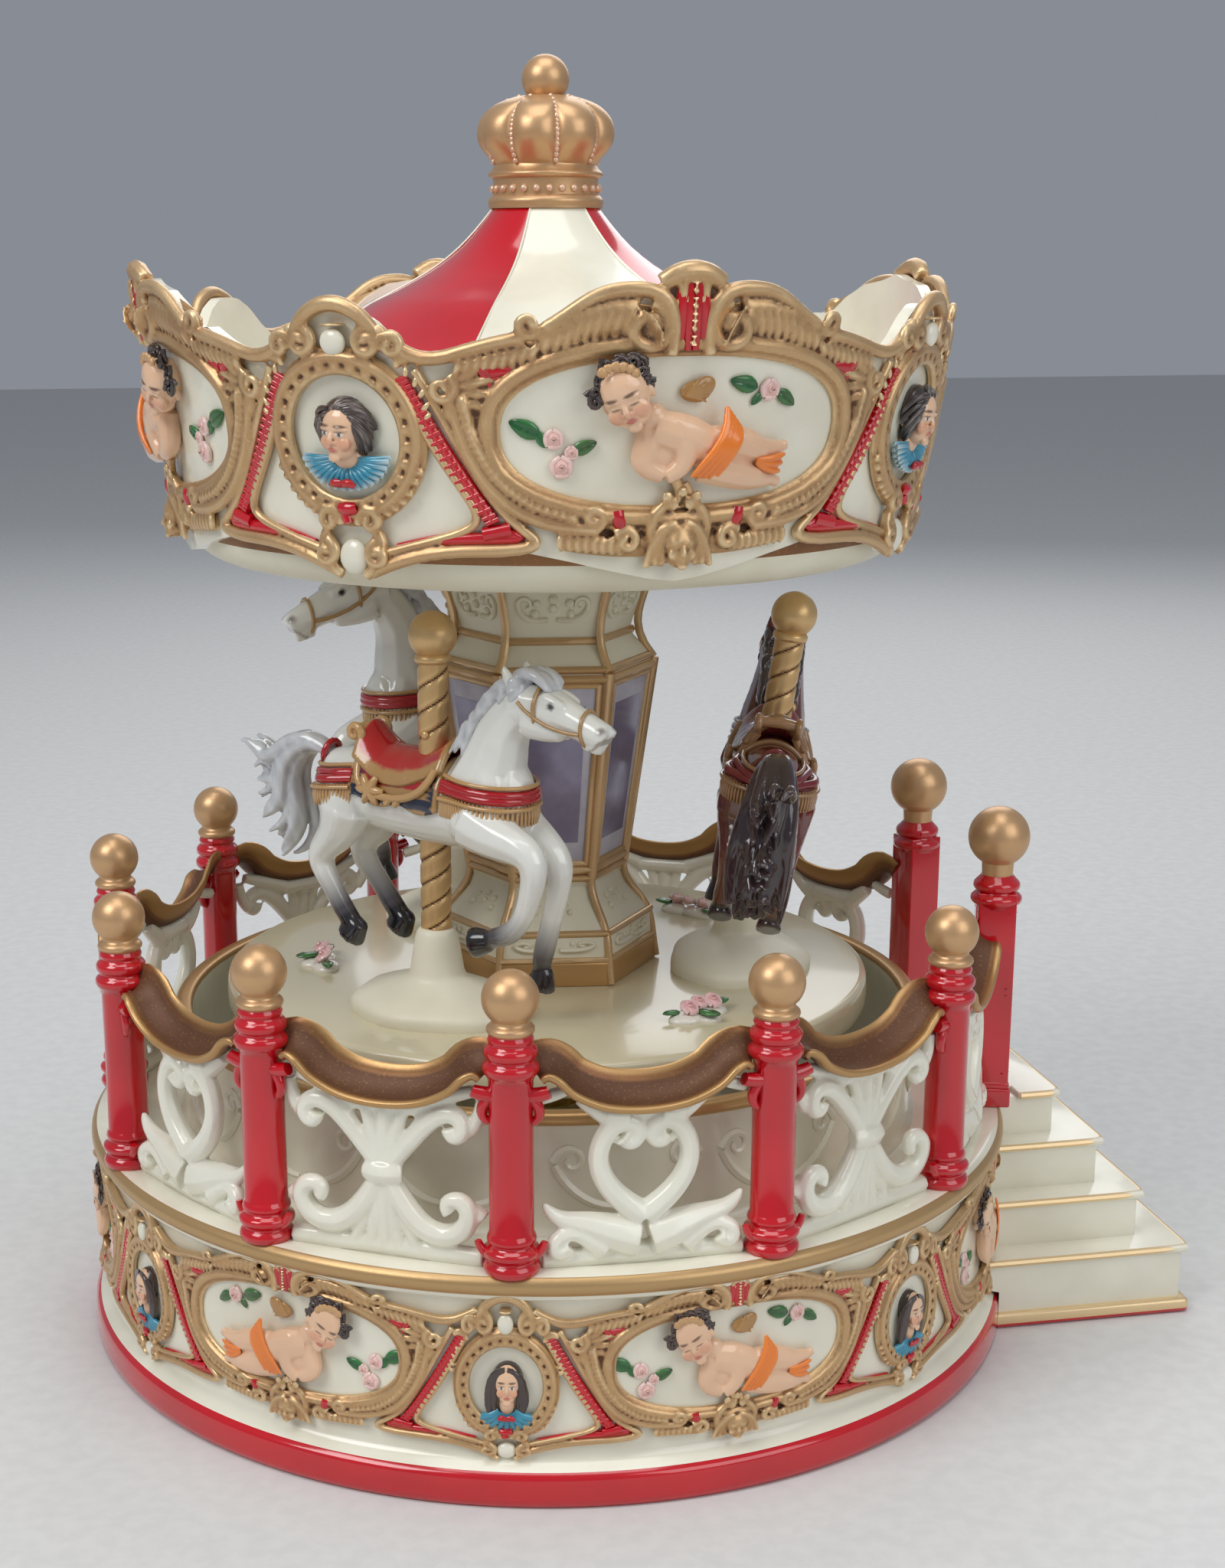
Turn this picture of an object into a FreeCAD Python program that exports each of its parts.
import FreeCAD, Part
import math
import os
import Sketcher
from FreeCAD import Placement, Rotation, Vector

"""Wind-up carousel music box, in millimetres.

+Z is up and the origin is the centre of the underside.  The entry steps lie along +X.
Bearings are angles from -Y, growing towards +X, so the steps are at a bearing of 90 degrees.
"""

DOC = FreeCAD.newDocument("CarouselMusicBox")
SHEET = DOC.addObject("Spreadsheet::Sheet", "Sizes")

SIZES = {
    # base casting
    "foot_radius": 80.4, "foot_height": 5.2, "drum_radius": 77.2, "drum_bore": 73.2,
    "moulding_radius": 79.6, "moulding_low": 32.4, "deck_top": 36.7, "deck_thick": 3.2,
    "deck_radius": 74.7, "boss_radius": 4.6, "boss_circle": 69.0, "boss_top": 22.0,
    # coaming round the turntable
    "coaming_bore": 61.6, "coaming_wall": 63.4, "coaming_lip": 64.6, "coaming_top": 56.6,
    # underside cover with its key well
    "cover_low": 1.6, "cover_thick": 2.0, "cover_radius": 73.1, "well_radius": 20.0,
    "well_top": 13.0, "key_hole": 3.4, "felt_radius": 62.0, "felt_thick": 0.9,
    # fence
    "fence_radius": 76.0, "gate_radius": 77.2, "post_shaft": 3.3, "post_foot": 4.2,
    "post_ball": 4.2, "post_ball_height": 41.7, "gate_width": 6.4, "gate_ball": 5.2,
    "gate_ball_height": 47.8, "panel_half": 15.2, "rail_half": 15.8, "panel_thick": 3.0,
    "rail_width": 5.4, "rail_thick": 1.5, "rail_middle": 24.6, "rail_end": 29.4,
    # turntable and column
    "disc_radius": 55.4, "disc_top": 61.2, "disc_thick": 6.0, "hub_radius": 10.0,
    "plinth_corner": 19.2, "waist_corner": 12.9, "shaft_corner": 13.3, "shoulder_corner": 18.2,
    "neck_corner": 14.3, "capital_corner": 18.6, "shaft_low": 79.3, "shaft_high": 114.4,
    "ceiling_low": 132.5, "mirror_thick": 0.8, "mirror_sink": 0.4, "frame_width": 1.7,
    # canopy
    "ceiling_radius": 56.0, "valance_low": 135.2, "valance_high": 178.6, "valance_dip": 167.0,
    "roof_top": 187.9, "roof_neck": 8.0, "crown_bulb": 11.3, "crown_ball": 3.8,
    "total_height": 211.1,
    # horses
    "horse_circle": 33.3, "pole_radius": 2.5, "pole_ball": 3.9, "pole_ball_height": 61.6,
    "mound_radius": 13.2, "mound_height": 13.6,
    # movement
    "spindle_radius": 2.5, "running_gap": 0.05, "bush_radius": 5.5, "plate_low": 14.0,
    "plate_thick": 1.4, "barrel_radius": 12.0, "barrel_low": 15.9, "barrel_high": 22.4,
    "barrel_wall": 1.1, "arbor_radius": 2.2, "cylinder_radius": 5.5, "cylinder_axis": 26.1,
    "axle_radius": 1.2, "comb_gap": 0.3,
}


def fill_sheet():
    """One row for each size: its name, and its number under an alias of that name."""
    for row, (name, number) in enumerate(SIZES.items(), start=1):
        SHEET.set("A%d" % row, name)
        SHEET.set("B%d" % row, str(number))
        SHEET.setAlias("B%d" % row, name)
    DOC.recompute()


class Size:
    """A length together with the expression on the sheet that gives it."""

    def __init__(self, number, text):
        self.number = number
        self.text = text

    def _with(self, other, sign, number):
        text = other.text if isinstance(other, Size) else repr(float(other))
        return Size(number, "(%s %s %s)" % (self.text, sign, text))

    def __add__(self, other):
        return self._with(other, "+", self.number + value(other))

    def __sub__(self, other):
        return self._with(other, "-", self.number - value(other))

    def __mul__(self, other):
        return self._with(other, "*", self.number * value(other))

    def __neg__(self):
        return Size(-self.number, "(-1 * %s)" % self.text)


def value(length):
    """The plain number of a Size or of a number."""
    return length.number if isinstance(length, Size) else float(length)


def size(name):
    """The named size, as read from the sheet."""
    return Size(float(SHEET.get(name)), "Sizes.%s" % name)


def bind(thing, prop, length):
    """Give a property its size, by expression where the size comes from the sheet."""
    if isinstance(length, Size):
        thing.setExpression(prop, length.text)
    else:
        setattr(thing, prop, length)


def around(bearing, radius, height=0.0, turn=None):
    """Placement at a bearing and radius; local +X is tangential and local +Y points outwards."""
    angle = math.radians(bearing)
    spot = Vector(radius * math.sin(angle), -radius * math.cos(angle), height)
    heading = bearing + 180.0 if turn is None else turn
    return Placement(spot, Rotation(Vector(0, 0, 1), heading))


# ---------------------------------------------------------------- sketches and bodies

def new_body(label):
    """An empty body with its own label."""
    body = DOC.addObject("PartDesign::Body", label)
    body.Label = label
    return body


def sketch_on(body, role, name):
    """A sketch on one of the body's own origin planes."""
    plane = [f for f in body.Origin.OriginFeatures if f.Role == role][0]
    sketch = body.newObject("Sketcher::SketchObject", name)
    sketch.AttachmentSupport = [(plane, "")]
    sketch.MapMode = "FlatFace"
    return sketch


def pin_down(sketch, edge, end, place):
    """Fix one end of an edge at its two sizes from the sketch's origin."""
    for axis, kind, length in ((-2, "DistanceX", place[0]), (-1, "DistanceY", place[1])):
        if value(length) == 0.0:
            sketch.addConstraint(Sketcher.Constraint("PointOnObject", edge, end, axis))
            continue
        index = sketch.addConstraint(Sketcher.Constraint(kind, -1, 1, edge, end, value(length)))
        if isinstance(length, Size):
            sketch.setExpression("Constraints[%d]" % index, length.text)


def outline(sketch, places, bulges=None):
    """A closed outline through places; bulges maps a side's number to a point its arc passes."""
    bulges = bulges or {}
    first = sketch.GeometryCount
    count = len(places)
    flat = [Vector(value(a), value(b), 0) for a, b in places]
    ends = []
    for i in range(count):
        start = flat[i]
        stop = flat[(i + 1) % count]
        if i in bulges:
            middle = Vector(bulges[i][0], bulges[i][1], 0)
            sketch.addGeometry(Part.Arc(start, middle, stop), False)
            left_turn = (middle - start).cross(stop - middle).z > 0
            ends.append((1, 2) if left_turn else (2, 1))
        else:
            sketch.addGeometry(Part.LineSegment(start, stop), False)
            ends.append((1, 2))
    for i in range(count):
        following = (i + 1) % count
        joint = Sketcher.Constraint("Coincident", first + i, ends[i][1],
                                    first + following, ends[following][0])
        sketch.addConstraint(joint)
    for i in range(count):
        pin_down(sketch, first + i, ends[i][0], places[i])
        if i in bulges:
            radius = sketch.Geometry[first + i].Radius
            sketch.addConstraint(Sketcher.Constraint("Radius", first + i, radius))


def hole_in(sketch, across, up, radius):
    """A circle in a sketch, with its centre fixed."""
    number = sketch.addGeometry(Part.Circle(Vector(across, up, 0), Vector(0, 0, 1), radius), False)
    pin_down(sketch, number, 3, (across, up))
    sketch.addConstraint(Sketcher.Constraint("Radius", number, radius))


def turned(label, places, bulges=None):
    """A body turned about Z from an outline of radius and height."""
    body = new_body(label)
    sketch = sketch_on(body, "XZ_Plane", label + "_outline")
    outline(sketch, places, bulges)
    spin = body.newObject("PartDesign::Revolution", label + "_turn")
    spin.Profile = sketch
    spin.ReferenceAxis = (sketch, ["V_Axis"])
    spin.Angle = 360.0
    return body


def pad(body, sketch, depth, name, midplane=True):
    """A pad of a sketch, half its depth to each side unless told otherwise."""
    feature = body.newObject("PartDesign::Pad", name)
    feature.Profile = sketch
    feature.Midplane = midplane
    bind(feature, "Length", depth)
    return feature


def primitive(kind, name, placement=None, **lengths):
    """A Part primitive whose lengths are bound to the sheet."""
    thing = DOC.addObject("Part::" + kind, name)
    for prop, length in lengths.items():
        bind(thing, prop, length)
    if placement is not None:
        thing.Placement = placement
    return thing


def block(name, low, high):
    """A box between two corners."""
    low = [value(c) for c in low]
    high = [value(c) for c in high]
    return primitive("Box", name, Placement(Vector(*low), Rotation()),
                     Length=high[0] - low[0], Width=high[1] - low[1], Height=high[2] - low[2])


def rod(name, radius, start, stop):
    """A cylinder from one point to another."""
    start = Vector(*[value(c) for c in start])
    stop = Vector(*[value(c) for c in stop])
    turn = Rotation(Vector(0, 0, 1), stop - start)
    return primitive("Cylinder", name, Placement(start, turn),
                     Radius=radius, Height=(stop - start).Length)


def fused(label, pieces):
    """Several pieces made one."""
    whole = DOC.addObject("Part::MultiFuse", label)
    whole.Label = label
    whole.Shapes = pieces
    whole.Refine = True
    return whole


def cut(label, base, tool):
    """One piece with another taken out of it."""
    left = DOC.addObject("Part::Cut", label)
    left.Label = label
    left.Base = base
    left.Tool = tool
    return left


def made(label, shape, placement=None):
    """A piece whose shape is worked out here, where no feature gives it."""
    thing = DOC.addObject("Part::Feature", label)
    thing.Label = label
    thing.Shape = shape
    if placement is not None:
        thing.Placement = placement
    return thing


# ---------------------------------------------------------------- base

def base_drum():
    """The hollow drum: red foot, plain wall, moulding and the shelf that carries the deck."""
    foot = size("foot_radius")
    wall = size("drum_radius")
    ring = size("moulding_radius")
    top = size("deck_top")
    low = size("moulding_low")
    shelf = size("deck_radius") + 0.1
    shell = turned("drum_shell", [
        (size("drum_bore"), 0.0), (foot - 0.8, 0.0), (foot, 0.9), (foot, size("foot_height")),
        (foot - 1.4, size("foot_height") + 1.0), (wall, size("foot_height") + 2.0), (wall, low),
        (ring, low + 0.9), (ring, top - 0.9), (ring - 0.9, top), (shelf, top),
        (shelf, top - size("deck_thick")), (size("drum_bore"), top - size("deck_thick"))])
    pieces = [shell]
    for k in range(4):
        seat = around(45.0 + 90.0 * k, value(size("boss_circle")), 3.7)
        pieces.append(primitive("Cylinder", "drum_boss", seat, Radius=size("boss_radius"),
                                Height=size("boss_top") - 3.7))
    body = fused("drum_with_bosses", pieces)
    holes = [primitive("Cylinder", "boss_hole",
                       around(45.0 + 90.0 * k, value(size("boss_circle")), 3.6),
                       Radius=1.55, Height=10.0) for k in range(4)]
    return cut("base_drum", body, fused("boss_holes", holes))


def deck_plate():
    """The ring floor inside the fence, with the bush's hole in the middle."""
    top = size("deck_top")
    low = top - size("deck_thick")
    return turned("deck_plate", [(size("bush_radius"), low), (size("deck_radius"), low),
                                 (size("deck_radius"), top), (size("bush_radius"), top)])


def coaming_ring():
    """The low wall round the turntable, with a rounded lip."""
    top = size("coaming_top")
    lip = size("coaming_lip")
    bore = size("coaming_bore")
    wall = size("coaming_wall")
    return turned("coaming_ring", [
        (bore, size("deck_top")), (wall + 1.0, size("deck_top")), (wall, size("deck_top") + 1.6),
        (wall, top - 2.4), (lip, top - 1.6), (lip, top - 0.5), (lip - 0.6, top),
        (bore + 0.5, top), (bore, top - 0.6)])


STEP_REACH = (107.9, 101.4, 95.5, 88.6)
STEP_TOP = (12.6, 21.1, 29.6, 37.6)
STEP_HALF = (33.4, 28.2, 23.2, 19.0)
NOSING = 0.9


def entry_steps():
    """Four treads on a slab, cast in one, each smaller than the one below, fitted to the drum."""
    inner = 66.0
    pieces = [block("step_slab", (inner, -STEP_HALF[0] - 1.2, 0.0),
                    (STEP_REACH[0] + 0.5, STEP_HALF[0] + 1.2, 2.8))]
    for number, (reach, top, half) in enumerate(zip(STEP_REACH, STEP_TOP, STEP_HALF)):
        start = inner if number < 3 else 80.6
        pieces.append(block("riser", (inner, -half, 2.0), (reach - NOSING, half, top - 1.0)))
        pieces.append(block("tread", (start, -half - NOSING, top - 1.4), (reach, half + NOSING, top)))
    pieces.append(block("landing", (75.0, -16.0, value(size("deck_top"))),
                        (82.0, 16.0, STEP_TOP[3])))
    solid = fused("steps_block", pieces)
    foot = size("foot_height") + 2.0
    drum = [primitive("Cylinder", "step_seat_foot", None, Radius=size("foot_radius"), Height=foot),
            primitive("Cylinder", "step_seat_wall", None, Radius=size("drum_radius"),
                      Height=size("deck_top")),
            primitive("Cylinder", "step_seat_moulding",
                      Placement(Vector(0, 0, value(size("moulding_low"))), Rotation()),
                      Radius=size("moulding_radius"),
                      Height=size("deck_top") - size("moulding_low"))]
    return cut("entry_steps", solid, fused("step_seat", drum))


def base_cover():
    """The round underside plate, dished up in the middle to give the key its well."""
    low = size("cover_low")
    up = low + size("cover_thick")
    wall = size("well_radius")
    roof = size("well_top")
    plate = turned("cover_plate", [
        (size("key_hole"), roof - 1.8), (wall, roof - 1.8), (wall, low),
        (size("cover_radius"), low), (size("cover_radius"), up), (wall + 2.0, up),
        (wall + 2.0, roof), (size("key_hole"), roof)])
    pillars = [rod("plate_pillar", 3.2, (across, along, value(up) - 0.5),
                   (across, along, size("plate_low"))) for across, along in PLATE_CORNERS]
    whole = fused("cover_with_pillars", [plate] + pillars)
    holes = [rod("pillar_hole", 1.25, (across, along, 9.0), (across, along, size("plate_low")))
             for across, along in PLATE_CORNERS]
    for k in range(4):
        spot = around(45.0 + 90.0 * k, value(size("boss_circle")), 1.0)
        holes.append(primitive("Cylinder", "cover_hole", spot, Radius=1.7, Height=3.2))
    return cut("base_cover", whole, fused("cover_holes", holes))


def base_felt():
    """A felt ring glued under the cover."""
    high = size("cover_low")
    low = high - size("felt_thick")
    inner = size("well_radius") + 2.6
    return turned("base_felt", [(inner, low), (size("felt_radius"), low),
                                (size("felt_radius"), high), (inner, high)])


def cover_screws():
    """Four pan-head screws that hold the cover to the drum's bosses."""
    low = value(size("cover_low"))
    screw = Part.makeCylinder(3.0, 1.0, Vector(0, 0, low - 1.0))
    screw = screw.fuse(Part.makeCylinder(1.5, 10.0, Vector(0, 0, low)))
    slot = Part.makeBox(7.0, 0.8, 0.5, Vector(-3.5, -0.4, low - 1.1))
    screw = screw.cut(slot)
    ring = []
    for k in range(4):
        copy = screw.copy()
        copy.Placement = around(45.0 + 90.0 * k, value(size("boss_circle")))
        ring.append(copy)
    return made("cover_screws", Part.makeCompound(ring))


# ---------------------------------------------------------------- fence

POST_BEARINGS = [15.0 + 30.0 * k for k in range(12) if k not in (2, 3)]
GATE_BEARINGS = {"gate_post_right": 75.0, "gate_post_left": 105.0}
HEART_BEARINGS = [60.0 * k for k in range(6)]
FLEUR_BEARINGS = [30.0 + 60.0 * k for k in range(6) if k != 1]


def fence_post(label, bearing):
    """A round post with turned rings at both ends and a ball on a collar."""
    shaft = size("post_shaft")
    foot = size("post_foot")
    ball = size("post_ball")
    centre = size("post_ball_height")
    neck = 2.4
    drop = math.sqrt(value(ball) ** 2 - neck ** 2)
    post = turned(label, [
        (0.0, 0.0), (foot, 0.0), (foot, 1.2), (shaft + 0.3, 1.8), (foot - 0.1, 2.6),
        (foot - 0.1, 3.4), (shaft, 4.2), (shaft, 30.4), (foot, 31.2), (foot, 32.0),
        (shaft + 0.1, 32.6), (foot - 0.3, 33.2), (foot - 0.3, 34.2), (3.1, 35.0), (3.1, 36.4),
        (neck, 37.2), (neck, centre - drop), (0.0, centre + ball)],
        {16: (value(ball), value(centre))})
    post.Placement = around(bearing, value(size("fence_radius")), value(size("deck_top")))
    return post


def gate_post(label, bearing):
    """A square post with sunk panels, a stepped cap and a larger ball."""
    half = value(size("gate_width")) / 2.0
    centre = value(size("gate_ball_height"))
    ball = size("gate_ball")
    top = 38.4
    pieces = [block(label + "_foot", (-half - 0.4, -half - 0.4, 0.0), (half + 0.4, half + 0.4, 3.4)),
              block(label + "_shaft", (-half, -half, 0.0), (half, half, top)),
              block(label + "_ledge", (-half - 0.5, -half - 0.5, top - 2.4),
                    (half + 0.5, half + 0.5, top - 1.2)),
              rod(label + "_collar", 3.6, (0, 0, top), (0, 0, top + 2.4)),
              rod(label + "_neck", 2.8, (0, 0, top + 2.4), (0, 0, centre)),
              primitive("Sphere", label + "_ball", Placement(Vector(0, 0, centre), Rotation()),
                        Radius=ball)]
    whole = fused(label + "_block", pieces)
    sunk = []
    for k in range(4):
        turn = Rotation(Vector(0, 0, 1), 90.0 * k)
        corner = turn.multVec(Vector(-half + 1.3, half - 0.4, 0)) + Vector(0, 0, 6.0)
        sunk.append(primitive("Box", label + "_panel", Placement(corner, turn),
                              Length=2 * half - 2.6, Width=1.0, Height=28.0))
    post = cut(label, whole, fused(label + "_panels", sunk))
    post.Placement = around(bearing, value(size("gate_radius")), value(size("deck_top")))
    return post


def fence_panel(label, bearing, openings, heart):
    """A pierced panel between two posts, with its swagged hand rail."""
    body = new_body(label)
    half = size("panel_half")
    low = 0.25
    middle = size("rail_middle")
    end = size("rail_end")
    plate = sketch_on(body, "XZ_Plane", label + "_plate")
    outline(plate, [(-half, low), (half, low), (half, end - 0.4), (-half, end - 0.4)],
            {2: (0.0, value(middle))})
    for across, up, radius in openings:
        for side in (-1.0, 1.0):
            hole_in(plate, side * across, up, radius)
    if heart:
        outline(plate, [(0.0, 7.2), (6.8, 14.0), (0.0, 18.6), (-6.8, 14.0)],
                {1: (5.2, 20.2), 2: (-5.2, 20.2)})
    pad(body, plate, size("panel_thick"), label + "_pad")
    rail = sketch_on(body, "XZ_Plane", label + "_rail")
    reach = size("rail_half")
    thick = size("rail_thick")
    outline(rail, [(-reach, end - 0.8), (reach, end - 0.8), (reach, end - 0.8 + thick),
                   (-reach, end - 0.8 + thick)],
            {0: (0.0, value(middle) - 0.6), 2: (0.0, value(middle) - 0.6 + value(thick))})
    pad(body, rail, size("rail_width"), label + "_rail_pad")
    chord = value(size("fence_radius")) * math.cos(math.radians(15.0))
    body.Placement = around(bearing, chord, value(size("deck_top")))
    return body


def fence():
    """Ten round posts, two gate posts, six heart panels and five fleur panels."""
    parts = []
    for number, bearing in enumerate(POST_BEARINGS, start=1):
        parts.append(fence_post("fence_post_%02d" % number, bearing))
    for label, bearing in GATE_BEARINGS.items():
        parts.append(gate_post(label, bearing))
    heart_holes = [(11.6, 17.8, 2.7), (10.6, 7.0, 2.9), (3.4, 3.6, 1.5)]
    fleur_holes = [(7.4, 18.2, 4.2), (8.4, 7.6, 3.6), (12.6, 13.0, 1.6), (3.2, 5.2, 1.4)]
    for number, bearing in enumerate(HEART_BEARINGS, start=1):
        parts.append(fence_panel("heart_panel_%d" % number, bearing, heart_holes, True))
    for number, bearing in enumerate(FLEUR_BEARINGS, start=1):
        parts.append(fence_panel("fleur_panel_%d" % number, bearing, fleur_holes, False))
    return parts


# ---------------------------------------------------------------- turntable and column

COLUMN_TURN = -6.6


def turntable_disc():
    """The round floor that turns, with a hub underneath that takes the spindle."""
    top = size("disc_top")
    low = top - size("disc_thick")
    edge = size("disc_radius")
    socket = size("spindle_radius")
    return turned("turntable_disc", [
        (0.0, low - 1.0), (socket, low - 1.0), (socket, size("deck_top") + 4.0),
        (size("hub_radius"), size("deck_top") + 4.0), (size("hub_radius"), low),
        (edge - 1.2, low), (edge, low + 1.0), (edge, top - 1.0), (edge - 0.9, top), (0.0, top)])


def six_sided(label, sections):
    """A hexagonal piece through corner radii at given heights, as straight tapers."""
    rings = []
    for corner, height in sections:
        ring = primitive("RegularPolygon", label + "_ring", None, Circumradius=corner)
        ring.Polygon = 6
        ring.Placement = Placement(Vector(0, 0, value(height)),
                                   Rotation(Vector(0, 0, 1), COLUMN_TURN))
        if isinstance(height, Size):
            ring.setExpression("Placement.Base.z", height.text)
        rings.append(ring)
    solid = DOC.addObject("Part::Loft", label)
    solid.Label = label
    solid.Sections = rings
    solid.Solid = True
    solid.Ruled = True
    return solid


def mirror_slab(deep, proud):
    """Six upright trapezoid slabs, one in each tapering face of the column's shaft."""
    low = value(size("shaft_low"))
    high = value(size("shaft_high"))
    flat = math.cos(math.radians(30.0))
    bottom = value(size("shaft_corner"))
    top = value(size("shoulder_corner"))
    edge = value(size("frame_width"))
    slope = math.atan2((top - bottom) * flat, high - low)
    length = (high - low) / math.cos(slope)
    narrow = bottom / 2.0 - edge
    wide = top / 2.0 - edge
    corners = [Vector(0, -narrow, edge), Vector(0, narrow, edge),
               Vector(0, wide, length - edge), Vector(0, -wide, length - edge)]
    face = Part.Face(Part.makePolygon(corners + corners[:1]))
    slab = face.extrude(Vector(deep + proud, 0, 0))
    slab.translate(Vector(-deep, 0, 0))
    slab.rotate(Vector(0, 0, 0), Vector(0, 1, 0), math.degrees(slope))
    slab.translate(Vector(bottom * flat, 0, low))
    ring = []
    for k in range(6):
        copy = slab.copy()
        copy.rotate(Vector(0, 0, 0), Vector(0, 0, 1), COLUMN_TURN + 30.0 + 60.0 * k)
        ring.append(copy)
    return Part.makeCompound(ring)


def column():
    """Plinth, mirrored shaft and capital of the six-sided column, and its six mirrors."""
    base = size("disc_top")
    plinth = six_sided("column_plinth", [
        (size("plinth_corner"), base), (size("plinth_corner"), base + 4.8),
        (size("plinth_corner") - 1.0, base + 8.7), (size("waist_corner"), base + 16.0),
        (size("shaft_corner"), size("shaft_low"))])
    core = six_sided("shaft_core", [(size("shaft_corner"), size("shaft_low")),
                                    (size("shoulder_corner"), size("shaft_high"))])
    thick = value(size("mirror_thick"))
    sink = value(size("mirror_sink"))
    recess = made("mirror_recess", mirror_slab(thick + sink, 1.0))
    shaft = cut("column_shaft", core, recess)
    mirrors = made("column_mirrors", mirror_slab(thick + sink, -sink))
    capital = six_sided("column_capital", [
        (size("shoulder_corner"), size("shaft_high")), (size("neck_corner"), size("shaft_high") + 4.4),
        (size("neck_corner"), size("shaft_high") + 6.4),
        (size("capital_corner") - 1.9, size("shaft_high") + 12.1),
        (size("capital_corner"), size("ceiling_low"))])
    return [plinth, shaft, mirrors, capital]


# ---------------------------------------------------------------- canopy

def canopy_ceiling():
    """The dished underside of the canopy."""
    low = size("ceiling_low")
    edge = size("ceiling_radius")
    return turned("canopy_ceiling", [(0.0, low), (20.0, low), (edge - 1.0, low + 1.6),
                                     (edge, low + 2.8), (edge, low + 6.0), (20.0, low + 3.6),
                                     (0.0, low + 3.6)])


def canopy_valance():
    """The flaring ring of the canopy, whose top edge dips between eight crests."""
    low = size("valance_low")
    high = size("valance_high")
    body = turned("canopy_valance", [
        (size("ceiling_radius") + 0.1, low), (58.4, low), (60.6, low + 6.0), (61.6, low + 11.0),
        (65.6, low + 36.0), (66.4, high), (64.0, high), (63.0, low + 36.0), (59.2, low + 11.0),
        (57.4, low + 6.2), (size("ceiling_radius") + 0.1, low + 4.6)])
    reach = 9.5
    sketch = sketch_on(body, "XZ_Plane", "valance_dips")
    number = sketch.addGeometry(
        Part.Circle(Vector(0, value(size("valance_dip")) + reach, 0), Vector(0, 0, 1), reach), False)
    sketch.addConstraint(Sketcher.Constraint("PointOnObject", number, 3, -2))
    height = sketch.addConstraint(Sketcher.Constraint(
        "DistanceY", -1, 1, number, 3, value(size("valance_dip")) + reach))
    sketch.setExpression("Constraints[%d]" % height, (size("valance_dip") + reach).text)
    sketch.addConstraint(Sketcher.Constraint("Radius", number, reach))
    dip = body.newObject("PartDesign::Pocket", "valance_dip_pocket")
    dip.Profile = sketch
    dip.Midplane = True
    dip.Type = 1
    ring = body.newObject("PartDesign::PolarPattern", "valance_dip_ring")
    ring.Originals = [dip]
    ring.Axis = (sketch, ["V_Axis"])
    ring.Angle = 360.0
    ring.Occurrences = 8
    body.Tip = ring
    body.Placement = Placement(Vector(0, 0, 0), Rotation(Vector(0, 0, 1), VALANCE_TURN + 22.5))
    return body


VALANCE_TURN = 6.8


def canopy_roof():
    """The tent roof: a concave shell that rises to a flat seat for the crown."""
    top = size("roof_top")
    neck = size("roof_neck")
    return turned("canopy_roof", [
        (0.0, top), (neck, top), (60.6, 160.4), (60.6, 158.0), (neck, top - 3.6), (0.0, top - 3.6)],
        {1: (24.4, 174.7), 3: (23.6, 171.9)})


def crown_finial():
    """The crown: banded base, bulb and top ball."""
    low = size("roof_top")
    bulb = size("crown_bulb")
    ball = size("crown_ball")
    top = size("total_height")
    neck = 2.2
    drop = math.sqrt(value(ball) ** 2 - neck ** 2)
    return turned("crown_finial", [
        (0.0, low), (9.2, low), (9.2, low + 1.4), (8.5, low + 1.9), (8.5, low + 4.4),
        (9.3, low + 5.0), (9.3, low + 5.8), (8.2, low + 6.4), (3.4, low + 15.6),
        (neck, low + 16.2), (neck, top - ball - drop), (0.0, top)],
        {7: (value(bulb), 198.7), 10: (value(ball), value(top) - value(ball))})


# ---------------------------------------------------------------- horses

HORSES = {1: (-43.5, -3.5, 0.0, 0.0), 2: (74.5, 0.0, 0.0, 8.5), 3: (196.5, 0.0, 4.0, 0.0)}


def limb(points):
    """Tapered stretches between points, each a place and a radius, with fuller balls at the joints."""
    fuller = 1.08
    pieces = [Part.makeSphere(radius * fuller, Vector(*place)) for place, radius in points]
    for (start, thick), (stop, thin) in zip(points[:-1], points[1:]):
        run = Vector(*stop) - Vector(*start)
        pieces.append(Part.makeCone(thick, thin, run.Length, Vector(*start), run))
    return pieces


def horse_shape():
    """A galloping horse about its pole, nose towards +X, heights above the turntable."""
    pieces = []
    pieces += limb([((-15.6, 0, 35.6), 6.0), ((-1.0, 0, 34.8), 5.8), ((11.2, 0, 35.6), 6.2)])
    pieces += limb([((11.9, 0, 38.2), 5.6), ((14.2, 0, 45.0), 4.4), ((17.9, 0, 50.6), 3.5)])
    pieces += limb([((19.2, 0, 52.0), 3.2), ((24.5, 0, 49.6), 2.9), ((29.2, 0, 47.0), 2.2)])
    pieces += limb([((-22.0, 0, 38.5), 2.4), ((-28.6, 0, 40.4), 2.5), ((-32.4, 0, 34.0), 2.6),
                    ((-30.4, 0, 24.0), 1.9)])
    for side, knee, hoof in ((-4.2, (22.4, 30.6), (12.0, 15.0)), (4.2, (21.2, 27.4), (17.6, 7.6))):
        pieces += limb([((12.0, side, 32.0), 4.0), ((knee[0], side, knee[1]), 2.3),
                        ((hoof[0], side, hoof[1]), 1.9)])
    for side, hoof in ((-4.2, (-13.4, 13.8)), (4.2, (-9.6, 13.6))):
        pieces += limb([((-15.5, side, 32.0), 4.8), ((-21.6, side, 23.4), 2.3),
                        ((hoof[0], side, hoof[1]), 1.9)])
    whole = pieces[0].multiFuse(pieces[1:])
    bore = Part.makeCylinder(value(size("pole_radius")), 70.0)
    return whole.cut(bore)


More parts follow.
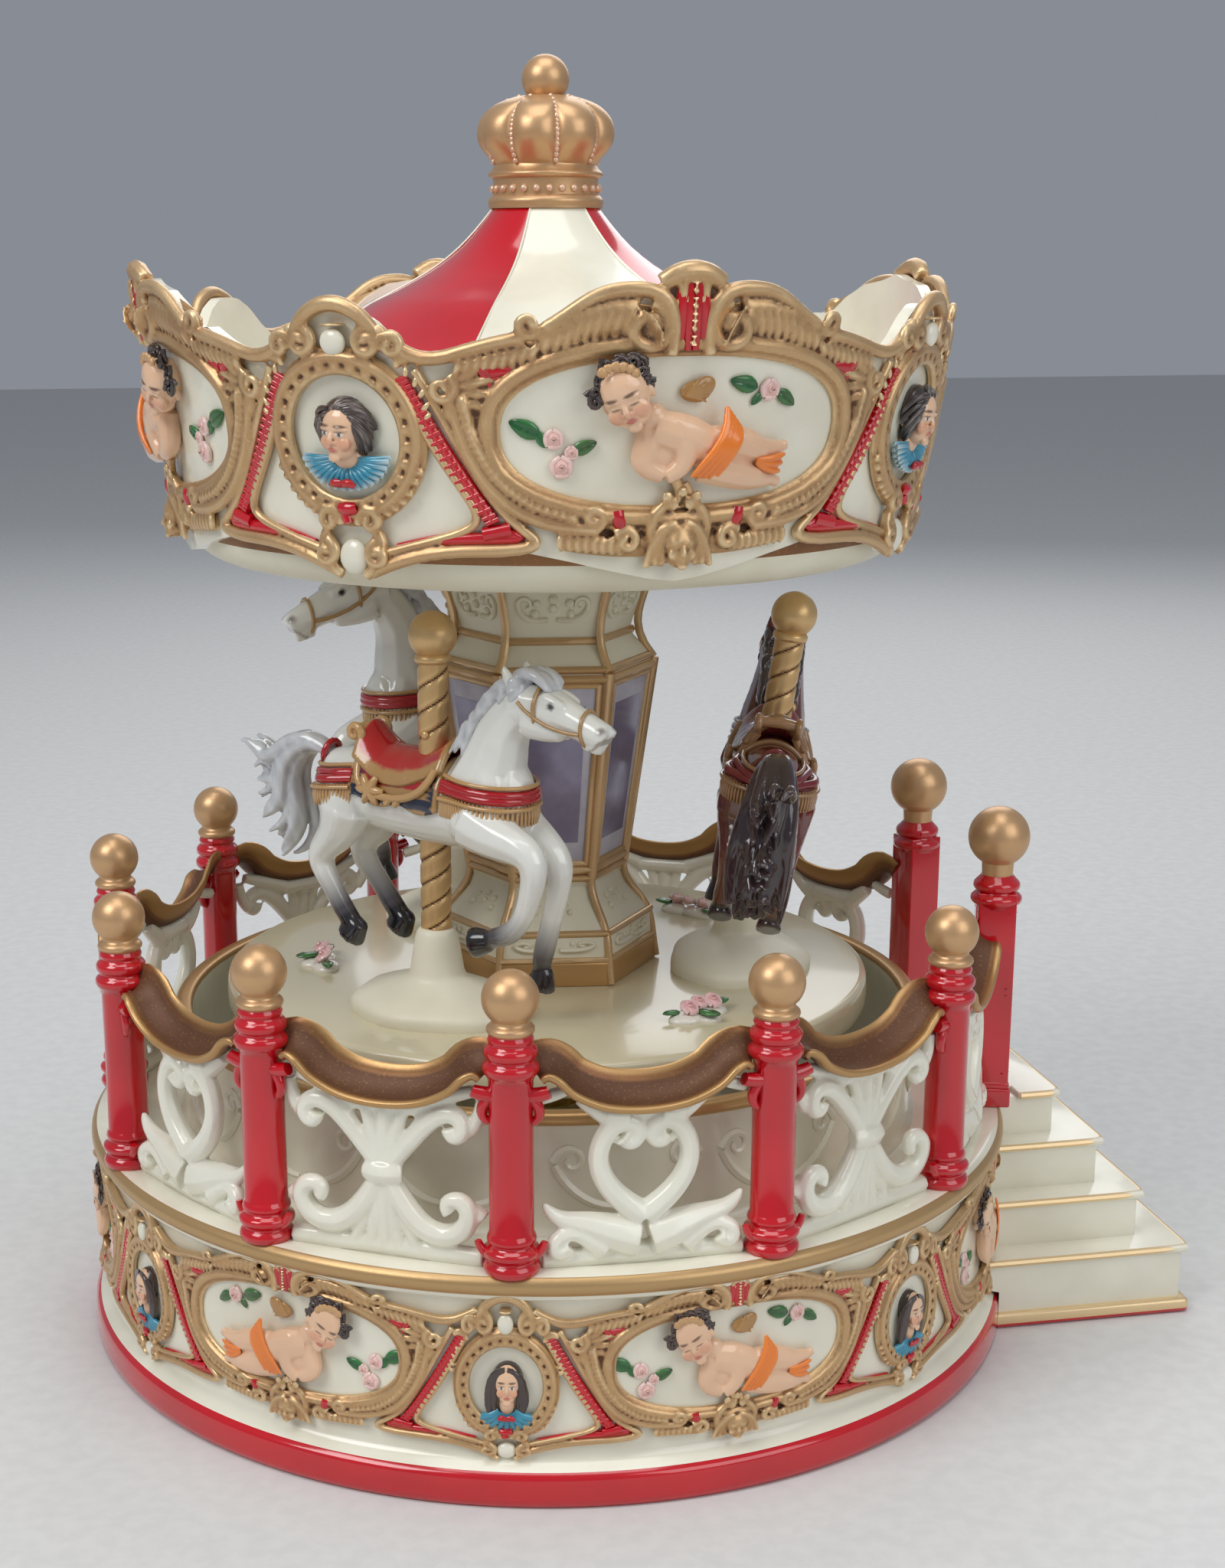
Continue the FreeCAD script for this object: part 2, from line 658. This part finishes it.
def horse_place(number):
    """Where a horse's pole stands: on the turntable, heading round it, with its outward lean."""
    bearing, swing, _, lean = HORSES[number]
    place = around(bearing, value(size("horse_circle")), value(size("disc_top")), bearing + swing)
    socket = Placement(Vector(0, 0, 6.0), Rotation(Vector(1, 0, 0), lean))
    return place.multiply(socket).multiply(Placement(Vector(0, 0, -6.0), Rotation()))


def horse_pole(number):
    """A pole from inside its mound up to a ball."""
    label = "horse_pole_%d" % number
    rise = value(size("pole_ball_height"))
    pieces = [rod(label + "_shaft", size("pole_radius"), (0, 0, 4.5), (0, 0, rise)),
              primitive("Sphere", label + "_ball", Placement(Vector(0, 0, rise), Rotation()),
                        Radius=size("pole_ball"))]
    pole = fused(label, pieces)
    pole.Placement = horse_place(number)
    return pole


def horses():
    """Three horses, their poles and the three mounds that the poles stand in."""
    poles = [horse_pole(number) for number in HORSES]
    DOC.recompute()
    shape = horse_shape()
    riders = []
    for number, (_, _, lift, _) in HORSES.items():
        rider = made("horse_%d" % number, shape.copy(),
                     horse_place(number).multiply(Placement(Vector(0, 0, lift), Rotation())))
        riders.append(rider)
    form = turned("mound_form", [
        (0.0, 0.0), (size("mound_radius"), 0.0), (size("mound_radius") - 1.4, 1.8), (6.0, 4.0),
        (3.9, 8.0), (3.5, size("mound_height")), (0.0, size("mound_height"))],
        {3: (4.5, 5.6)})
    DOC.recompute()
    mounds = []
    for number, pole in zip(HORSES, poles):
        bearing = HORSES[number][0]
        copy = form.Shape.copy()
        copy.Placement = around(bearing, value(size("horse_circle")), value(size("disc_top")))
        mounds.append(copy.cut(pole.Shape))
    return poles + riders + [made("horse_mounds", Part.makeCompound(mounds))]


SPRIGS = ((-97.6, 39.0), (26.2, 40.7), (127.3, 40.2))


def rose_sprigs():
    """Three little sprays of moulded roses on the turntable."""
    floor = value(size("disc_top"))
    sprays = []
    for bearing, radius in SPRIGS:
        spray = Part.makeSphere(2.1, Vector(-2.6, 0, 1.1))
        spray = spray.fuse(Part.makeSphere(2.1, Vector(1.2, 0.8, 1.1)))
        spray = spray.fuse(Part.makeSphere(1.6, Vector(4.4, -0.4, 0.8)))
        spray = spray.fuse(Part.makeSphere(1.6, Vector(-0.4, -2.4, 0.8)))
        spray = spray.cut(Part.makeBox(20, 20, 10, Vector(-10, -10, -10)))
        spray.Placement = around(bearing, radius, floor)
        sprays.append(spray)
    return made("rose_sprigs", Part.makeCompound(sprays))


# ---------------------------------------------------------------- movement

PLATE_CORNERS = ((24.0, 12.0), (24.0, -12.0), (-48.0, 12.0), (-48.0, -12.0))
CROWN_TEETH = 40
PINION_TEETH = 10
WHEEL_TEETH = 24
FAN_TEETH = 8
CYLINDER_ENDS = (-30.8, -14.4)
CYLINDER_RUN = (-35.2, -9.4)
WHEEL_PLACE = (-35.0, -33.2)
FAN_AXIS = (-7.0, 22.1)
COMB_SCREWS = ((-28.0, 16.0), (-22.6, 16.0), (-17.2, 16.0))


def gear_teeth(count, tip, root, share, width, phase):
    """A toothed wheel about X, from x = 0 to its width, with straight-flanked teeth."""
    corners = []
    pitch = 2.0 * math.pi / count
    for k in range(count):
        middle = pitch * k + phase
        for offset, radius in ((-0.5 * share - 0.1, root), (-0.5 * share + 0.06, tip),
                               (0.5 * share - 0.06, tip), (0.5 * share + 0.1, root)):
            angle = middle + offset * pitch
            corners.append(Vector(0, radius * math.cos(angle), radius * math.sin(angle)))
    face = Part.Face(Part.makePolygon(corners + corners[:1]))
    return face.extrude(Vector(width, 0, 0))


def movement_bedplate():
    """The movement's plate, with the comb's bed and the two bearing ears of the cylinder."""
    low = size("plate_low")
    top = value(low) + value(size("plate_thick"))
    axis = value(size("cylinder_axis"))
    pieces = [block("plate", (-52.0, -17.0, value(low)), (28.0, 21.0, top)),
              block("comb_bed", (-30.6, 12.0, top), (-14.6, 20.6, axis - 0.4))]
    for start in (-13.8, -32.6):
        pieces.append(block("ear", (start, -2.6, top), (start + 1.2, 2.6, axis + 2.4)))
    whole = fused("bedplate_blank", pieces)
    gap = value(size("running_gap"))
    holes = [rod("arbor_hole", value(size("arbor_radius")) + gap, (0, 0, 13.0), (0, 0, 16.0)),
             rod("axle_hole", value(size("axle_radius")) + gap, (-34.0, 0, axis), (-12.0, 0, axis))]
    for across, along in PLATE_CORNERS:
        holes.append(rod("plate_hole", 1.45, (across, along, 13.0), (across, along, 16.0)))
    for across, along in COMB_SCREWS:
        holes.append(rod("comb_hole", 1.25, (across, along, 18.0), (across, along, axis)))
    return cut("movement_bedplate", whole, fused("bedplate_holes", holes))


def barrel_bridge():
    """The bridge that steadies the spindle above the barrel."""
    top = value(size("plate_low")) + value(size("plate_thick"))
    pieces = [block("bridge_bar", (-5.0, -16.8, 25.7), (5.0, 16.8, 27.3)),
              block("bridge_leg_a", (-5.0, -16.8, top), (5.0, -14.0, 27.3)),
              block("bridge_leg_b", (-5.0, 14.0, top), (5.0, 16.8, 27.3))]
    whole = fused("bridge_blank", pieces)
    bore = rod("bridge_bore", value(size("spindle_radius")) + value(size("running_gap")),
               (0, 0, 25.0), (0, 0, 28.0))
    return cut("barrel_bridge", whole, bore)


def spring_barrel():
    """The spring's drum, with a crown of teeth on its top rim and a hub for the spindle."""
    low = size("barrel_low")
    high = size("barrel_high")
    wall = size("barrel_wall")
    outer = size("barrel_radius")
    arbor = size("arbor_radius") + size("running_gap")
    drum = turned("barrel_drum", [
        (arbor, low), (outer, low), (outer, high), (4.6, high), (4.6, high + 2.8),
        (size("spindle_radius"), high + 2.8), (size("spindle_radius"), high - 0.1),
        (0.0, high - 0.1), (0.0, high - wall - 0.1), (outer - wall, high - wall - 0.1),
        (outer - wall, low + wall), (arbor, low + wall)])
    DOC.recompute()
    pitch = 2.0 * math.pi / CROWN_TEETH
    base = value(high)
    flank = [Vector(9.7, -0.42, base - 0.2), Vector(9.7, 0.42, base - 0.2),
             Vector(9.7, 0.26, base + 1.35), Vector(9.7, -0.26, base + 1.35)]
    tooth = Part.Face(Part.makePolygon(flank + flank[:1])).extrude(Vector(2.2, 0, 0))
    teeth = []
    for k in range(CROWN_TEETH):
        copy = tooth.copy()
        copy.rotate(Vector(0, 0, 0), Vector(0, 0, 1), math.degrees(pitch * (k + 0.5)))
        teeth.append(copy)
    return made("spring_barrel", drum.Shape.multiFuse(teeth))


def mainspring():
    """The wound steel ribbon in the barrel, an even spiral of seven turns."""
    turns = 7
    inner = 3.4
    outer = value(size("barrel_radius")) - value(size("barrel_wall")) - 0.6
    ribbon = 0.4
    steps = 16 * turns

    def spiral(offset):
        points = []
        for i in range(steps + 1):
            angle = 2.0 * math.pi * turns * i / steps
            radius = inner + (outer - inner) * i / steps + offset
            points.append(Vector(radius * math.cos(angle), radius * math.sin(angle), 0))
        curve = Part.BSplineCurve()
        curve.interpolate(points)
        return curve

    inside = spiral(0.0)
    outside = spiral(ribbon)
    edges = [inside.toShape(),
             Part.makeLine(inside.EndPoint, outside.EndPoint), outside.toShape(),
             Part.makeLine(outside.StartPoint, inside.StartPoint)]
    face = Part.Face(Part.Wire(Part.__sortEdges__(edges)))
    low = value(size("barrel_low")) + value(size("barrel_wall")) + 0.3
    high = value(size("barrel_high")) - value(size("barrel_wall")) - 0.4
    solid = face.extrude(Vector(0, 0, high - low))
    return made("mainspring", solid, Placement(Vector(0, 0, low), Rotation()))


def winding_set():
    """The arbor that winds the spring and the butterfly key on its end."""
    radius = size("arbor_radius")
    arbor = rod("winding_arbor", radius, (0, 0, 5.0), (0, 0, 19.4))
    arbor.Label = "winding_arbor"
    pieces = [rod("key_hub", 3.4, (0, 0, 4.0), (0, 0, 10.4)),
              block("key_wings", (-8.0, -0.8, 1.2), (8.0, 0.8, 8.4))]
    for side in (-1.0, 1.0):
        pieces.append(rod("key_wing_end", 3.6, (side * 8.0, -0.8, 4.8), (side * 8.0, 0.8, 4.8)))
    blank = fused("key_blank", pieces)
    key = cut("winding_key", blank, rod("key_bore", radius, (0, 0, 5.0), (0, 0, 11.0)))
    return [arbor, key]


def music_cylinder():
    """The pinned cylinder on its axle, with the pinion at one end and the wheel at the other."""
    axis = value(size("cylinder_axis"))
    radius = value(size("cylinder_radius"))
    start, stop = CYLINDER_ENDS
    along = Vector(1, 0, 0)
    solid = Part.makeCylinder(radius, stop - start, Vector(start, 0, 0), along)
    axle = Part.makeCylinder(value(size("axle_radius")), CYLINDER_RUN[1] - CYLINDER_RUN[0],
                             Vector(CYLINDER_RUN[0], 0, 0), along)
    pinion = gear_teeth(PINION_TEETH, 3.2, 1.95, 0.38, 2.5, -math.pi / 2.0)
    pinion.translate(Vector(-12.2, 0, 0))
    wheel = gear_teeth(WHEEL_TEETH, 6.4, 5.35, 0.38, WHEEL_PLACE[1] - WHEEL_PLACE[0],
                       math.atan2(FAN_AXIS[1] - axis, FAN_AXIS[0]))
    wheel.translate(Vector(WHEEL_PLACE[0], 0, 0))
    pins = []
    for row in range(18):
        for turn in range(3):
            angle = math.radians(120.0 * turn + 67.0 * row)
            out = Vector(0, math.cos(angle), math.sin(angle))
            foot = Vector(start + 0.9 + 0.86 * row, 0, 0) + out * (radius - 0.4)
            pins.append(Part.makeCylinder(0.2, 0.85, foot, out))
    whole = solid.multiFuse([axle, pinion, wheel] + pins)
    return made("music_cylinder", whole, Placement(Vector(0, 0, axis), Rotation()))


def music_comb():
    """The steel comb: a plate cut into eighteen tongues that end just short of the pins."""
    axis = value(size("cylinder_axis"))
    start, stop = CYLINDER_ENDS
    tip = value(size("cylinder_radius")) + 0.45 + value(size("comb_gap"))
    plate = Part.makeBox(stop - start - 0.6, 20.0 - tip, 0.8, Vector(start + 0.3, tip, axis - 0.4))
    slots = []
    for row in range(17):
        slots.append(Part.makeBox(0.22, 6.0, 2.0,
                                  Vector(start + 1.22 + 0.86 * row, tip - 1.0, axis - 1.0)))
    for across, side in COMB_SCREWS:
        slots.append(Part.makeCylinder(1.4, 3.0, Vector(across, side, axis - 1.5)))
    return made("music_comb", plate.cut(slots))


def movement_screws():
    """Cheese-head screws: four hold the plate to the cover's pillars, three the comb."""
    plate_top = value(size("plate_low")) + value(size("plate_thick"))
    comb_top = value(size("cylinder_axis")) + 0.4
    screws = []
    for spots, height, depth in ((PLATE_CORNERS, plate_top, 5.0), (COMB_SCREWS, comb_top, 6.0)):
        for across, along in spots:
            head = Part.makeCylinder(2.3, 1.4, Vector(across, along, height))
            head = head.fuse(Part.makeCylinder(1.2, depth, Vector(across, along, height - depth)))
            slot = Part.makeBox(5.0, 0.6, 0.8, Vector(across - 2.5, along - 0.3, height + 0.9))
            screws.append(head.cut(slot))
    return made("movement_screws", Part.makeCompound(screws))


def governor():
    """The air brake: a fan on a fine spindle with its pinion, and the bracket that holds it."""
    side, height = FAN_AXIS
    along = Vector(1, 0, 0)
    spindle = Part.makeCylinder(0.6, 17.6, Vector(-49.2, side, height), along)
    axis = value(size("cylinder_axis"))
    phase = math.atan2(axis - height, -side) + math.pi / FAN_TEETH
    pinion = gear_teeth(FAN_TEETH, 2.35, 1.4, 0.38, WHEEL_PLACE[1] - WHEEL_PLACE[0], phase)
    pinion.translate(Vector(WHEEL_PLACE[0], side, height))
    blades = Part.makeBox(8.0, 9.0, 0.6, Vector(-46.0, side - 4.5, height - 0.3))
    hub = Part.makeCylinder(1.3, 8.0, Vector(-46.0, side, height), along)
    fan = made("governor_fan", spindle.multiFuse([pinion, hub, blades]))
    top = value(size("plate_low")) + value(size("plate_thick"))
    gap = value(size("running_gap"))
    frame = [block("governor_foot", (-50.0, side - 1.6, top), (-31.6, side + 1.4, top + 1.0))]
    for start in (-32.6, -50.0):
        frame.append(block("governor_arm", (start, side - 1.6, top), (start + 1.0, side + 1.0, height + 1.4)))
    bracket = cut("governor_frame", fused("governor_blank", frame),
                  rod("governor_bore", 0.6 + gap, (-52.0, side, height), (-30.0, side, height)))
    return [fan, bracket]


def drive_train():
    """Spindle and bush that carry the barrel's turning up to the turntable."""
    radius = size("spindle_radius")
    low = size("deck_top") - size("deck_thick")
    spindle = rod("drive_spindle", radius, (0, 0, size("barrel_high")),
                  (0, 0, size("disc_top") - size("disc_thick") - 1.0))
    spindle.Label = "drive_spindle"
    bore = radius + size("running_gap")
    bush = turned("turntable_bush", [
        (bore, low - 1.0), (size("bush_radius"), low - 1.0), (size("bush_radius"), size("deck_top")),
        (8.0, size("deck_top")), (8.0, size("deck_top") + 1.6), (bore, size("deck_top") + 1.6)])
    return [spindle, bush]


# ---------------------------------------------------------------- the whole

def build():
    """Every sub-part, in the order in which the music box goes together."""
    fill_sheet()
    parts = [base_drum(), deck_plate(), coaming_ring(), entry_steps(), base_cover(), base_felt(),
             cover_screws()]
    parts += fence()
    parts.append(turntable_disc())
    parts += column()
    parts += [canopy_ceiling(), canopy_valance(), canopy_roof(), crown_finial()]
    parts += horses()
    parts.append(rose_sprigs())
    parts += [movement_bedplate(), barrel_bridge(), spring_barrel(), mainspring()]
    parts += winding_set()
    parts += [music_cylinder(), music_comb(), movement_screws()]
    parts += governor()
    parts += drive_train()
    DOC.recompute()
    return parts


def check(parts):
    """Stop unless every object is computed and every sub-part is valid and solid."""
    for thing in DOC.Objects:
        if "Invalid" in thing.State or "Error" in thing.State:
            raise RuntimeError("%s failed: %s" % (thing.Label, thing.State))
    for part in parts:
        shape = part.Shape
        if shape.isNull() or not shape.isValid() or not shape.Solids:
            raise RuntimeError("%s has no valid solid" % part.Label)
    full = DOC.getObject("canopy_valance_turn").Shape.Volume
    dipped = DOC.getObject("canopy_valance").Shape.Volume
    if not 0.75 * full < dipped < 0.97 * full:
        raise RuntimeError("the valance's dips took %.0f of %.0f" % (full - dipped, full))


def main():
    """Build, check and write each sub-part to its own file."""
    parts = build()
    check(parts)
    os.makedirs("parts", exist_ok=True)
    for part in parts:
        solids = len(part.Shape.Solids)
        part.Shape.exportStep("parts/%s.step" % part.Label)
        print("%-20s solids %2d volume %9.1f" % (part.Label, solids, part.Shape.Volume))
    print("nodes", len(parts))


main()
